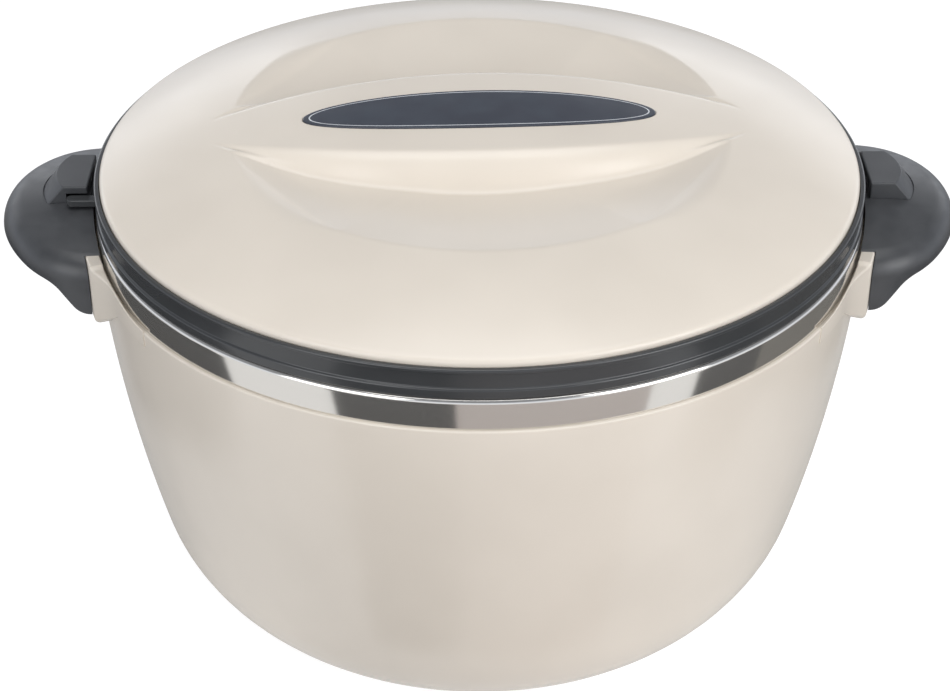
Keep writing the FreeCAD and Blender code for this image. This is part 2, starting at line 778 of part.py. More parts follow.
def lock_hook(side, turn):
    """One hook, made at +X: its mouth is at +Y, and the tab slides in towards -Y."""
    block = box(
        "hook_block_" + side,
        hook_face,
        beyond,
        0 - s.hook_half_width,
        s.hook_half_width,
        hook_low,
        hook_top,
    )
    bow = primitive(
        "Part::Cone",
        "hook_bow_" + side,
        (hook_mid, 0, hook_low),
        Radius1=s.hook_bow_low,
        Radius2=s.hook_bow_top,
        Height=hook_top - hook_low,
    )
    form = common("hook_form_" + side, block, bow)
    eased = rounded("hook_eased_" + side, form, s.hook_ease, above_hook_foot)
    channel_low = tab_low - s.hook_slack
    channel_high = hook_top - s.hook_roof
    channel_box = box(
        "channel_box_" + side,
        s.ring_radius - 10,
        beyond,
        0 - channel_end,
        s.hook_half_width + 5,
        channel_low,
        channel_high,
    )
    channel_round = post(
        "channel_round_" + side, 0, 0, channel_low - 1, channel_high + 1, tab_out + s.hook_slack
    )
    channel = common("channel_" + side, channel_box, channel_round)
    screw_holes = [
        post(
            f"hook_hole_{side}_{way + 2}",
            hook_screw_x,
            s.hook_screw_side * way,
            hook_low - 1,
            boss_end + s.hook_screw_length + 0.4,
            s.hook_screw_shank + s.plug_gap,
        )
        for way in (-1, 1)
    ]
    item = cut("lock_hook_" + side, eased, channel, *screw_holes)
    item.Placement = FreeCAD.Placement(FreeCAD.Vector(), FreeCAD.Rotation(UP, turn))
    return item


def screw_pair(name, turn, sizes, positions, rotation):
    """Two equal screws of one side, turned to that side."""
    screws = []
    for number, position in enumerate(positions, start=1):
        item = screw(f"{name}_{number}", *sizes)
        base = FreeCAD.Vector(*[number_of(value) for value in position])
        item.Placement = FreeCAD.Placement(base, rotation)
        for axis, value in zip("xyz", position):
            bind(item, "Placement.Base." + axis, value)
        screws.append(item)
    pair = fuse(name, *screws)
    pair.Placement = FreeCAD.Placement(FreeCAD.Vector(), FreeCAD.Rotation(UP, turn))
    return pair


for side, turn in (("right", 0), ("left", 180)):
    handle(side, turn)
    lock_hook(side, turn)
    screw_pair(
        "handle_screws_" + side,
        turn,
        (s.screw_shank, s.screw_head, s.screw_head_height, s.screw_length),
        [(mount_face + s.screw_head_height, s.screw_spread * way, screw_level) for way in (-1, 1)],
        FreeCAD.Rotation(FreeCAD.Vector(0, 1, 0), -90),
    )
    screw_pair(
        "hook_screws_" + side,
        turn,
        (s.hook_screw_shank, s.hook_screw_head, s.hook_screw_shank, s.hook_screw_length),
        [(hook_screw_x, s.hook_screw_side * way, boss_end - s.hook_screw_shank) for way in (-1, 1)],
        FreeCAD.Rotation(),
    )

# Lid ring with its two lock tabs, and the seal under it

ring_in = derived("ring_in", s.ring_radius - s.ring_wall)
lip_in = derived("lip_in", s.ring_radius - s.ring_lip)
ring_face = derived("ring_face", s.ring_radius - s.ring_hollow)
bead_foot = derived("bead_foot", ring_top - s.ring_bead)
shelf_in = derived("shelf_in", ring_in - s.shelf_width)
ring_turned = turned(
    "ring_turned",
    (lip_in, ring_low),
    [
        (s.ring_radius - 0.5, ring_low),
        (s.ring_radius, ring_low + 0.5),
        (s.ring_radius, ring_low + s.ring_foot),
        (ring_face, ring_low + s.ring_foot + s.ring_hollow),
        (ring_face, bead_foot),
        (s.ring_radius, bead_foot + s.ring_hollow / 2),
        (s.ring_radius, ring_top - s.ring_hollow),
        (ring_face, ring_top, s.ring_hollow),
        (ring_in, ring_top),
        (ring_in, shelf_top),
        (shelf_in, shelf_top),
        (shelf_in, shelf_low),
        (lip_in, shelf_low),
    ],
)
tab_root = derived("tab_root", root(ring_in * ring_in - s.tab_start * s.tab_start) + 0.1)
tabs = []


def outer_tab_corner(edge):
    bounds = edge.BoundBox
    return bounds.ZLength > 1 and bounds.XMin > s.ring_radius.number


for side, turn in (("right", 0), ("left", 180)):
    bar = box(
        "tab_bar_" + side,
        tab_root,
        tab_out + 1,
        s.tab_start,
        s.tab_start + s.tab_width,
        tab_low,
        tab_low + s.tab_thick,
    )
    sweep = post("tab_sweep_" + side, 0, 0, tab_low - 1, tab_low + s.tab_thick + 1, tab_out)
    blank = common("tab_blank_" + side, bar, sweep)
    tab = rounded("tab_" + side, blank, s.tab_corner, outer_tab_corner)
    tab.Placement = FreeCAD.Placement(FreeCAD.Vector(), FreeCAD.Rotation(UP, turn))
    tabs.append(tab)
lid_ring = fuse("lid_ring", ring_turned, *tabs)

seal_out = derived("seal_out", lip_in - s.seal_side)
seal_in = derived("seal_in", seal_out - s.seal_width)
lid_seal = turned(
    "lid_seal",
    (seal_in, flange_top),
    [
        (seal_out, flange_top),
        (seal_out, flange_top + 0.9),
        (seal_out - 0.7, flange_top + 1.2),
        (seal_out - 0.7, shelf_low - 0.9),
        (seal_out, shelf_low - 0.6),
        (seal_out, shelf_low),
        (seal_in, shelf_low),
    ],
)

# Steel liner under the lid

liner_out = derived("liner_out", mouth - s.liner_gap)
liner_low = derived("liner_low", shelf_low - s.liner_drop)
lid_liner = turned(
    "lid_liner",
    (0, liner_low),
    [
        (liner_out - s.liner_corner, liner_low),
        (liner_out, liner_low + s.liner_corner, s.liner_corner),
        (liner_out, shelf_low - s.steel),
        (liner_out + s.liner_flange, shelf_low - s.steel),
        (liner_out + s.liner_flange, shelf_low),
        (liner_out - s.steel, shelf_low),
        (liner_out - s.steel, liner_low + s.liner_corner),
        (liner_out - s.liner_corner, liner_low + s.steel, 0 - (s.liner_corner - s.steel)),
        (0, liner_low + s.steel),
    ],
)

# Lid cover: a dome with two finger scoops that leave the grip bar between them

scoop_out = derived("scoop_out", s.ring_radius - s.scoop_inset)
crown_radius = derived("crown_radius", (scoop_out * scoop_out / s.crown_fall + s.crown_fall) / 2)
brow_in = derived("brow_in", scoop_out + 3)
brow_z = derived("brow_z", crown - crown_radius + root(crown_radius * crown_radius - brow_in * brow_in))
cover_out = derived("cover_out", ring_in - s.fit_gap)
brow_out = derived("brow_out", cover_out - s.cover_edge * 0.65)
brow_end_z = derived("brow_end_z", ring_top + s.cover_edge_rise + s.cover_edge * 0.94)
brow_across = brow_out - brow_in
brow_down = brow_z - brow_end_z
brow_curve = brow_across * brow_across + brow_down * brow_down
brow_bend = brow_down * root(crown_radius * crown_radius - brow_in * brow_in) - brow_across * brow_in
brow_radius = derived("brow_radius", brow_curve * crown_radius / (2 * brow_bend))
bar_length = scoop_out * scoop_out - s.bar_end_half_width * s.bar_end_half_width
bar_bow = s.bar_half_width - s.bar_end_half_width
bar_radius = derived("bar_radius", (bar_length / bar_bow + bar_bow) / 2)
slope_fall = derived("slope_fall", sine(s.scoop_slope) / cosine(s.scoop_slope))
draft_step = derived("draft_step", sine(s.bar_draft) / cosine(s.bar_draft))
scoop_deep = derived("scoop_deep", 30 + s.crown_fall)


def dome(name, inset, low_steps):
    """Dome under the crown by an inset, closed below by the steps from its edge to the axis."""
    if number_of(inset) == 0:
        rim = [(cover_out, ring_top + s.cover_edge_rise), (brow_out, brow_end_z, s.cover_edge)]
    else:
        # The inside meets the wall without a rounding
        rim = [(cover_out - inset, brow_end_z - inset)]
    top = [(brow_in, brow_z - inset, brow_radius), (0, crown - inset, crown_radius)]
    start, *steps = low_steps + rim + top
    return turned(name, start, steps)


def scoops(name, inset):
    """What the two finger scoops take away, or a wall's thickness more below them."""
    floor_z = crown - s.crown_fall - scoop_out * slope_fall - inset / cosine(s.scoop_slope)
    floor = primitive(
        "Part::Cone",
        name + "_floor",
        (0, 0, floor_z),
        Radius1=0,
        Radius2=scoop_deep / slope_fall,
        Height=scoop_deep,
    )
    sides = []
    half_width = s.bar_half_width - inset / cosine(s.bar_draft)
    for way in (-1, 1):
        offset = (bar_radius - half_width) * way
        sides.append(
            primitive(
                "Part::Cone",
                f"{name}_side_{way + 2}",
                (0, offset, crown - scoop_deep),
                Radius1=bar_radius + scoop_deep * draft_step,
                Radius2=bar_radius - draft_step * 5,
                Height=scoop_deep + 5,
            )
        )
    bar = common(name + "_bar", *sides)
    item = cut(name, floor, bar)
    item.Placement = FreeCAD.Placement(FreeCAD.Vector(), FreeCAD.Rotation(UP, s.grip_angle.number))
    bind(item, "Placement.Rotation.Angle", s.grip_angle)
    return item


foam_under = derived("foam_under", s.cover_wall + s.fit_gap)
cover_solid = dome("cover_solid", 0, [(0, shelf_top), (cover_out, shelf_top)])
cover_void = dome(
    "cover_void", s.cover_wall, [(0, shelf_top - 1), (cover_out - s.cover_wall, shelf_top - 1)]
)
outside_form = cut("cover_outside", cover_solid, scoops("scoops", 0))
inside_form = cut("cover_inside", cover_void, scoops("scoops_inside", s.cover_wall))
shell_of_cover = cut("cover_shell", outside_form, inside_form)


def under_crown(name, low, high, reach):
    """Cap between two depths under the crown, to a reach from the axis."""
    low_radius = crown_radius - low
    high_radius = crown_radius - high
    low_edge = crown - crown_radius + root(low_radius * low_radius - reach * reach)
    high_edge = crown - crown_radius + root(high_radius * high_radius - reach * reach)
    return turned(
        name,
        (0, crown - low),
        [(reach, low_edge, 0 - low_radius), (reach, high_edge), (0, crown - high, high_radius)],
    )


badge_reach = derived("badge_reach", s.badge_half_length + 2)
recess_cap = under_crown("recess_cap", s.badge_deep, 0 - 2, badge_reach)
recess_oval = oval(
    "recess_oval",
    s.badge_half_length + s.fit_gap,
    s.badge_half_width + s.fit_gap,
    crown - 20,
    crown + 10,
    s.grip_angle,
)
recess = common("badge_recess", recess_cap, recess_oval)
plug_rim = s.lid_plug_radius + s.lid_plug_rim
plug_seat = derived("plug_seat", crown - s.badge_deep - 0.9)
rim_hole = post("rim_hole", 0, 0, plug_seat, crown, plug_rim)
plug_hole = post("plug_hole", 0, 0, plug_seat - 5, crown, s.lid_plug_radius)
lid_cover = cut("lid_cover", shell_of_cover, recess, rim_hole, plug_hole)

lid_plug = turned(
    "lid_plug",
    (0, crown - s.cover_wall + 0.1),
    [
        (s.lid_plug_radius - 0.4, crown - s.cover_wall + 0.1),
        (s.lid_plug_radius - s.plug_gap, crown - s.cover_wall + 0.5),
        (s.lid_plug_radius - s.plug_gap, plug_seat),
        (plug_rim - s.plug_gap, plug_seat),
        (plug_rim - s.plug_gap, plug_seat + 0.7),
        (0, plug_seat + 0.7),
    ],
)

badge_cap = under_crown("badge_cap", s.badge_deep - 0.1, 0 - s.badge_proud, badge_reach)
badge_oval = oval(
    "badge_oval", s.badge_half_length, s.badge_half_width, crown - 20, crown + 10, s.grip_angle
)
badge = common("badge", badge_cap, badge_oval)

# Insulation in the lid, from the cover down into the liner

liner_in = liner_out - s.steel - s.fit_gap
foam_floor = derived("foam_floor", liner_low + s.steel + s.fit_gap)
foam_blank = dome(
    "foam_blank",
    foam_under,
    [
        (0, foam_floor),
        (liner_out - s.liner_corner, foam_floor),
        (liner_in, liner_low + s.liner_corner, s.liner_corner - s.steel - s.fit_gap),
        (liner_in, shelf_low - s.fit_gap),
        (shelf_in - s.fit_gap, shelf_low - s.fit_gap),
        (shelf_in - s.fit_gap, shelf_top + s.fit_gap),
        (cover_out - foam_under, shelf_top + s.fit_gap),
    ],
)
lid_foam = cut("lid_foam", foam_blank, scoops("scoops_foam", foam_under))

NODES = [
    "outer_shell",
    "inner_bowl",
    "body_foam",
    "base_plug",
    "handle_left",
    "handle_right",
    "lock_hook_left",
    "lock_hook_right",
    "handle_screws_left",
    "handle_screws_right",
    "hook_screws_left",
    "hook_screws_right",
    "lid_ring",
    "lid_seal",
    "lid_liner",
    "lid_cover",
    "lid_foam",
    "lid_plug",
    "badge",
]

doc.recompute()
broken = [item.Name for item in doc.Objects if "Invalid" in item.State or "Error" in item.State]
if broken:
    raise RuntimeError("not built: " + ", ".join(broken))
os.makedirs("parts", exist_ok=True)
for name in NODES:
    item = doc.getObject(name)
    item.Label = name
    shape = item.Shape
    if shape.isNull() or not shape.isValid():
        raise RuntimeError("not a valid shape: " + name)
    shape.exportStep("parts/" + name + ".step")
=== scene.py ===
import math

import bpy
import numpy as np
from mathutils import Euler, Matrix, Vector


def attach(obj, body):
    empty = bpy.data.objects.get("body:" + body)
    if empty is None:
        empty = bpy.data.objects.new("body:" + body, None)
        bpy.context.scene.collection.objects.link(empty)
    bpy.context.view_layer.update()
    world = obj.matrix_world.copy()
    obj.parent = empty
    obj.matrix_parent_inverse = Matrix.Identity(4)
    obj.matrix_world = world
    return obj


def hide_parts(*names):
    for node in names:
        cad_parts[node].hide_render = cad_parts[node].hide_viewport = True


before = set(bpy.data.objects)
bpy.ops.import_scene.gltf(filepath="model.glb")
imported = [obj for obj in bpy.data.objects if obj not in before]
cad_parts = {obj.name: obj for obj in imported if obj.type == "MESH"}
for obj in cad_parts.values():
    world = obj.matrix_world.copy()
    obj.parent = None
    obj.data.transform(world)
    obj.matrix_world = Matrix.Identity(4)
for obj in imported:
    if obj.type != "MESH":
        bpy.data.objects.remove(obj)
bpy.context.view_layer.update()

bl_info = {
    "name": "Insulated casserole",
    "version": (1, 0),
    "blender": (4, 5, 0),
    "location": "3D View > Sidebar > Casserole",
    "description": "Finishes an insulated casserole with a twist-lock lid on its packed frame",
    "category": "Add Mesh",
}

MM = 0.001

# Sizes that several pieces share, in millimetres from the axis and from the foot
SHELL_HEIGHT = 167.8
FLANGE_TOP = 180.0
COVER_OUT = 147.7
COVER_FOOT = 185.8
RING_RADIUS = 150.0
SMOOTH_WITHIN = math.radians(32)

# Materials


def linear(colour):
    """Linear colour of an sRGB hex value."""
    channels = [int(colour[i : i + 2], 16) / 255 for i in (1, 3, 5)]
    return [c / 12.92 if c <= 0.04045 else ((c + 0.055) / 1.055) ** 2.4 for c in channels] + [1.0]


def hex_of(colour):
    """sRGB hex value of a colour property, which holds linear values."""
    codes = []
    for c in colour[:3]:
        s = c * 12.92 if c <= 0.0031308 else 1.055 * c ** (1 / 2.4) - 0.055
        codes.append(f"{round(max(0.0, min(1.0, s)) * 255):02x}")
    return "#" + "".join(codes)


def shade(colour, factor):
    """A hex colour made darker or lighter by a factor."""
    return "#" + "".join(f"{min(255, round(int(colour[i : i + 2], 16) * factor)):02x}" for i in (1, 3, 5))


def node(tree, kind, settings=None, **links):
    """Adds a node, sets its properties and sockets, and links its inputs to other nodes' outputs."""
    item = tree.nodes.new(kind)
    for name, value in (settings or {}).items():
        if isinstance(name, str) and hasattr(item, name):
            setattr(item, name, value)
        else:
            item.inputs[name].default_value = value
    for name, source in links.items():
        target = item.inputs[int(name[1:])] if name[1:].isdigit() else item.inputs[name.replace("_", " ")]
        tree.links.new(source, target)
    return item


def shaded(name, colour, settings):
    """Material with a principled shader. Returns it with its tree, its shader and object coordinates."""
    item = bpy.data.materials.new(name)
    item.use_nodes = True
    tree = item.node_tree
    shader = tree.nodes["Principled BSDF"]
    shader.inputs["Base Color"].default_value = linear(colour)
    for key, value in settings.items():
        shader.inputs[key].default_value = value
    place = node(tree, "ShaderNodeTexCoord").outputs["Object"]
    return item, tree, shader, place


def grained(tree, shader, place, millimetres, depth, detail=3.0):
    """Fine moulded or blasted grain, as bump, with its spacing and depth in millimetres."""
    noise = node(tree, "ShaderNodeTexNoise", {"Scale": 1000 / millimetres, "Detail": detail}, Vector=place)
    settings = {"Strength": 1.0, "Distance": depth * MM}
    bump = node(tree, "ShaderNodeBump", settings, Height=noise.outputs["Fac"])
    tree.links.new(bump.outputs["Normal"], shader.inputs["Normal"])


def varied(tree, place, millimetres, low, high, socket):
    """A slow change between two values, into one socket."""
    noise = node(tree, "ShaderNodeTexNoise", {"Scale": 1000 / millimetres, "Detail": 2.0}, Vector=place)
    spread = node(
        tree,
        "ShaderNodeMapRange",
        {"From Min": 0.3, "From Max": 0.7, "To Min": low, "To Max": high},
        Value=noise.outputs["Fac"],
    )
    tree.links.new(spread.outputs["Result"], socket)


def tinted(tree, place, millimetres, low, high, socket):
    """A slow change between two colours, into one socket."""
    noise = node(tree, "ShaderNodeTexNoise", {"Scale": 1000 / millimetres, "Detail": 2.0}, Vector=place)
    ramp = node(tree, "ShaderNodeValToRGB", Fac=noise.outputs["Fac"])
    ramp.color_ramp.elements[0].position = 0.35
    ramp.color_ramp.elements[1].position = 0.65
    ramp.color_ramp.elements[0].color = linear(low)
    ramp.color_ramp.elements[1].color = linear(high)
    tree.links.new(ramp.outputs["Color"], socket)


def mottled(name, colour, settings, tint, gloss, grain):
    """Material with uneven tint, gloss and grain. The first value of each is its spacing in millimetres."""
    item, tree, shader, place = shaded(name, colour, settings)
    spacing, darker, lighter = tint
    tinted(tree, place, spacing, shade(colour, darker), shade(colour, lighter), shader.inputs["Base Color"])
    varied(tree, place, *gloss, shader.inputs["Roughness"])
    grained(tree, shader, place, *grain)
    return item


def moulded_polypropylene(colour):
    # Polypropylene from a polished mould: an even, glossy skin with soft reflections and a faint sink ripple
    settings = {"Roughness": 0.22, "IOR": 1.49}
    return mottled(
        "moulded_polypropylene", colour, settings, (60, 0.985, 1.01), (25, 0.2, 0.26), (18, 0.02, 1.0)
    )


def satin_nylon(colour):
    # Glass-filled nylon from a spark-eroded mould: charcoal, with a fine satin grain and dull highlights
    settings = {"Roughness": 0.38, "IOR": 1.53}
    return mottled("satin_nylon", colour, settings, (12, 0.94, 1.06), (6, 0.34, 0.44), (0.6, 0.012))


def glossy_abs(colour):
    # ABS from a polished mould: dark grey with clear, slightly soft reflections
    settings = {"Roughness": 0.2, "IOR": 1.54}
    return mottled("glossy_abs", colour, settings, (30, 0.96, 1.04), (10, 0.17, 0.25), (8, 0.01, 1.0))


def glossy_acrylic(colour):
    # Back-printed acrylic plate: slate grey and near-flat, with clear reflections and a faint mottle
    settings = {"Roughness": 0.18, "IOR": 1.49}
    return mottled("glossy_acrylic", colour, settings, (16, 0.96, 1.04), (9, 0.15, 0.22), (12, 0.006, 1.0))


def printed_line(colour):
    # Screen-printed white ink: opaque, a little rough and uneven
    settings = {"Roughness": 0.45, "IOR": 1.5}
    return mottled("printed_line", colour, settings, (3, 0.95, 1.03), (1.5, 0.4, 0.5), (0.8, 0.004))


def polished_steel(colour):
    # Stainless steel sheet, drawn and buffed: sharp bright and dark reflections with a slight ripple
    settings = {"Roughness": 0.1, "Metallic": 1.0}
    return mottled("polished_steel", colour, settings, (20, 0.96, 1.03), (5, 0.08, 0.14), (14, 0.02, 2.0))


def zinc_steel(colour):
    # Zinc-plated screws: greyish, softly bright, with a fine plating grain
    item, tree, shader, place = shaded("zinc_steel", colour, {"Roughness": 0.32, "Metallic": 1.0})
    varied(tree, place, 0.8, 0.26, 0.4, shader.inputs["Roughness"])
    grained(tree, shader, place, 0.4, 0.006)
    return item


def silicone_rubber(colour):
    # Moulded silicone: milky and soft, with a dull skin
    item, tree, shader, place = shaded(
        "silicone_rubber", colour, {"Roughness": 0.5, "IOR": 1.41, "Subsurface Weight": 0.15}
    )
    shader.inputs["Subsurface Radius"].default_value = (0.004, 0.003, 0.002)
    varied(tree, place, 4, 0.45, 0.58, shader.inputs["Roughness"])
    grained(tree, shader, place, 1.5, 0.01)
    return item


def rigid_foam(colour):
    # Polyurethane foam: pale yellow, matt and full of small cells
    item, tree, shader, place = shaded("rigid_foam", colour, {"Roughness": 0.9, "IOR": 1.45})
    cells = node(tree, "ShaderNodeTexVoronoi", {"Scale": 1000 / 1.2}, Vector=place)
    bump = node(tree, "ShaderNodeBump", {"Distance": 0.3 * MM}, Height=cells.outputs["Distance"])
    tree.links.new(bump.outputs["Normal"], shader.inputs["Normal"])
    tinted(tree, place, 8, shade(colour, 0.92), shade(colour, 1.04), shader.inputs["Base Color"])
    return item


def dress(names, material):
    """Gives CAD nodes a material."""
    for name in names:
        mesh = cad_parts[name].data
        mesh.materials.clear()
        mesh.materials.append(material)


# Lid cover and badge

# Turn of the grip bar off the line of the handles, in degrees
GRIP_TURN = 2.1
# Dome: the crown's arc out to the brow, then a tighter one down to the rounded edge
CROWN = 214.0
CROWN_RADIUS = 710.8
BROW_IN = 100.0
COVER_WALL = 2.5
EDGE = 2.2
EDGE_FOOT = 192.75
BROW_OUT = COVER_OUT - EDGE * 0.65
BROW_END = EDGE_FOOT + EDGE * 0.94
# Finger scoops: shallow cones, with a steeper facet outside a chord at each end
SCOOP_OUT = 97.0
SCOOP_EDGE = 207.35
SCOOP_SLOPE = math.radians(7.9)
FACET_SLOPE = math.radians(19.0)
FACET_CHORD = 89.6
FACET_PLACE = math.radians(33.7)
FACET_FROM = 45.0
FACET_FULL = 75.0
FACET_SOFTNESS = 0.25
# Grip bar: two arcs that meet beyond its ends, with drafted sides
BAR_HALF = 35.5
BAR_RADIUS = 220.7
BAR_DRAFT = math.radians(25.0)
BAR_FADE = 4.0
# Where the scoops' edges run out at the bar's ends, along and beside the bar
END_PLACE = 76.0
END_LENGTH = 14.0
END_FROM = 20.0
END_FULL = 35.0
# Badge, its recess, and the plugged hole under it
BADGE_LONG = 68.5
BADGE_WIDE = 15.5
BADGE_THICK = 0.7
LINE_LONG = 2.85
LINE_WIDE = 1.85
RECESS_GAP = 0.3
RECESS_DEEP = 0.5
PLUG_RIM = 8.0
PLUG_HOLE = 6.0
PLUG_SEAT = 0.9


def smooth_low(a, b, soft):
    """Lower of two heights, blended over a height."""
    blend = np.maximum(soft - np.abs(a - b), 0) / soft
    return np.minimum(a, b) - blend**2 * soft / 4


def smooth_high(a, b, soft):
    """Higher of two heights, blended over a height."""
    return -smooth_low(-a, -b, soft)


def dome_height(reach, inset):
    """Height of the dome at a distance from the axis: the crown's arc, then the tighter arc of the brow."""
    crown_centre = CROWN - CROWN_RADIUS
    crown = crown_centre + np.sqrt(CROWN_RADIUS**2 - np.minimum(reach, BROW_IN) ** 2)
    start = crown_centre + math.sqrt(CROWN_RADIUS**2 - BROW_IN**2)
    across = BROW_OUT - BROW_IN
    down = start - BROW_END
    lean = math.asin(BROW_IN / CROWN_RADIUS)
    radius = (across**2 + down**2) / (2 * (down * math.cos(lean) - across * math.sin(lean)))
    centre_out = BROW_IN - radius * math.sin(lean)
    centre_up = start - radius * math.cos(lean)
    brow = centre_up + np.sqrt(radius**2 - (np.maximum(reach, BROW_IN) - centre_out) ** 2)
    return np.where(reach < BROW_IN, crown, brow) - inset


def fade(value, start, full):
    """Share from 0 to 1, as a value goes from a start to where it counts in full."""
    return np.clip((value - start) / (full - start), 0, 1)


def cover_height(u, v, inset, soft):
    """Height of the cover over the bar's own axes: the dome, less the two scoops beside the bar."""
    reach = np.hypot(u, v)
    dome = dome_height(reach, inset)
    across = np.arctan2(np.abs(v), np.abs(u)) - FACET_PLACE
    steeper = math.tan(FACET_SLOPE) - math.tan(SCOOP_SLOPE)
    bite = np.maximum(SCOOP_OUT - FACET_CHORD / np.cos(across), 0) * steeper
    bite = bite * fade(reach, FACET_FROM, FACET_FULL)
    floor = SCOOP_EDGE - (SCOOP_OUT - reach) * math.tan(SCOOP_SLOPE) - bite
    facet = SCOOP_EDGE - (SCOOP_OUT - reach) * math.tan(FACET_SLOPE)
    floor = smooth_high(floor, facet, FACET_SOFTNESS) - inset / math.cos(SCOOP_SLOPE)
    half = BAR_HALF - inset / math.cos(BAR_DRAFT)
    outside = np.hypot(u, np.abs(v) + BAR_RADIUS - half) - BAR_RADIUS
    side = CROWN - outside / math.tan(BAR_DRAFT)
    scoop = smooth_high(floor, side, soft["foot"])
    ends = np.exp(-(((np.abs(u) - END_PLACE) / END_LENGTH) ** 2)) * fade(np.abs(v), END_FROM, END_FULL)
    ridge = soft["ridge"] + soft["end"] * ends
    share = fade(side - floor, 0, BAR_FADE)
    return smooth_low(dome, scoop, soft["bar"] * share + ridge * (1 - share))


def oval_loop(long, wide, height, count):
    """Points of an oval round the axis, along the bar. The height is a value or a function of the place."""
    angle = np.arange(count) * 2 * math.pi / count
    u = long * np.cos(angle)
    v = wide * np.sin(angle)
    z = height(u, v) if callable(height) else np.full(count, float(height))
    return np.stack([u, v, z], axis=1)


def round_loop(radius, height, count):
    """Points of a circle round the axis."""
    return oval_loop(radius, radius, height, count)


def skin(name, loops, closed=False, turn=0.0, capped=False):
    """Mesh between loops of as many points each, given in millimetres and turned about the axis."""
    points = np.concatenate(loops) * MM
    angle = math.radians(turn)
    across = points[:, 0] * math.cos(angle) - points[:, 1] * math.sin(angle)
    along = points[:, 0] * math.sin(angle) + points[:, 1] * math.cos(angle)
    points = np.stack([across, along, points[:, 2]], axis=1)
    count = len(loops[0])
    faces = []
    last = len(loops) if closed else len(loops) - 1
    for row in range(last):
        low = row * count
        high = (row + 1) % len(loops) * count
        for i in range(count):
            j = (i + 1) % count
            faces.append((low + i, low + j, high + j, high + i))
    if capped:
        faces.append(tuple(reversed(range(count))))
        faces.append(tuple(range(len(points) - count, len(points))))
    mesh = bpy.data.meshes.new(name)
    mesh.from_pydata(points.tolist(), [], faces)
    mesh.shade_smooth()
    item = bpy.data.objects.new(name, mesh)
    bpy.context.scene.collection.objects.link(item)
    return item


def finish_piece(item, material, body, *nodes):
    """Gives a piece its material and its body, in place of CAD nodes."""
    item.data.materials.append(bpy.data.materials[material])
    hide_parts(*nodes)
    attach(item, body)


class CoverSettings(bpy.types.PropertyGroup):
    """Softness of the lid cover's edges"""

    bar_softness: bpy.props.FloatProperty(
        name="Bar softness", description="Height over which the bar's top edges blend, mm", default=9.0
    )
    foot_softness: bpy.props.FloatProperty(
        name="Foot softness", description="Height over which the bar's foot blends, mm", default=3.0
    )
    ridge_softness: bpy.props.FloatProperty(
        name="Ridge softness", description="Height over which the scoops' outer edges blend, mm", default=0.4
    )
    end_softness: bpy.props.FloatProperty(
        name="End softness", description="Further blending at the scoops' ends, mm", default=2.8
    )


class BuildCover(bpy.types.Operator):
    """Lid cover with its grip bar, finger scoops and the recess for the badge"""

    bl_idname = "casserole.cover"
    bl_label = "Lid cover"

    def execute(self, context):
        settings = context.scene.casserole_cover
        soft = {
            "bar": settings.bar_softness,
            "foot": settings.foot_softness,
            "ridge": settings.ridge_softness,
            "end": settings.end_softness,
        }
        count = 480

        def outside(u, v):
            return cover_height(u, v, 0.0, soft)

        def inside(u, v):
            return cover_height(u, v, COVER_WALL, soft)

        def recess_floor(u, v):
            return outside(u, v) - RECESS_DEEP

        long = BADGE_LONG + RECESS_GAP
        wide = BADGE_WIDE + RECESS_GAP
        rim_top = CROWN - RECESS_DEEP
        cover_in = COVER_OUT - COVER_WALL
        loops = [
            round_loop(PLUG_HOLE, CROWN - COVER_WALL, count),
            round_loop(PLUG_HOLE, rim_top - PLUG_SEAT, count),
            round_loop(PLUG_RIM, rim_top - PLUG_SEAT, count),
            round_loop(PLUG_RIM, rim_top, count),
        ]
        for step in np.linspace(0.05, 1, 12):
            across = PLUG_RIM + (wide - PLUG_RIM) * step
            loops.append(oval_loop(PLUG_RIM + (long - PLUG_RIM) * step, across, recess_floor, count))
        for out, drop in ((0.0, 0.25), (0.05, 0.1), (0.15, 0.03), (0.3, 0.0)):
            loops.append(oval_loop(long + out, wide + out, lambda u, v, d=drop: outside(u, v) - d, count))
        for step in np.linspace(0.004, 1, 124):
            across = wide + (BROW_OUT - wide) * step
            loops.append(oval_loop(long + (BROW_OUT - long) * step, across, outside, count))
        for angle in np.radians(np.linspace(60, 0, 7)[1:]):
            out = COVER_OUT - EDGE + EDGE * math.cos(angle)
            loops.append(round_loop(out, EDGE_FOOT + EDGE * math.sin(angle), count))
        loops.append(round_loop(COVER_OUT, COVER_FOOT, count))
        loops.append(round_loop(cover_in, COVER_FOOT, count))
        for step in np.linspace(1, 0, 60)[:-1]:
            loops.append(round_loop(PLUG_HOLE + (cover_in - PLUG_HOLE) * step, inside, count))
        item = skin("cover", loops, closed=True, turn=GRIP_TURN)
        finish_piece(item, "moulded_polypropylene", "lid", "lid_cover")
        return {"FINISHED"}


